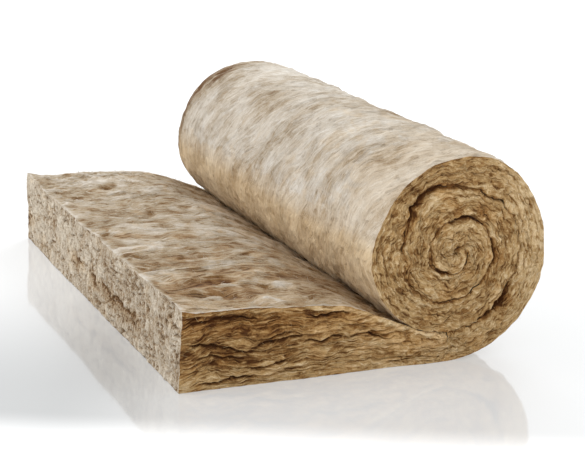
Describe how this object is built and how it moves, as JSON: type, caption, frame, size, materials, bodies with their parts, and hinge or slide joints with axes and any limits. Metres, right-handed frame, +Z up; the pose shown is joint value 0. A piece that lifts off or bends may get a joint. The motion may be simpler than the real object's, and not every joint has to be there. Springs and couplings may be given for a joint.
{
  "type": "insulation roll",
  "caption": "Glass wool insulation mat, partly unrolled: one thick quilt lies flat at its cut end and is wound up into a roll at the other.",
  "frame": {"origin": "on the floor, below the middle of the overall size", "axes": "+X along the flat length towards the roll, +Y along the roll's axis, +Z up"},
  "size_m": [0.8598, 1.2, 0.46],
  "materials": {
    "glass_wool": "matt golden-brown glass fibre, pale and silky on the wound faces, layered and darker on the cut edges"
  },
  "bodies": {
    "root": {"wool_mat": "glass_wool"}
  },
  "joints": []
}
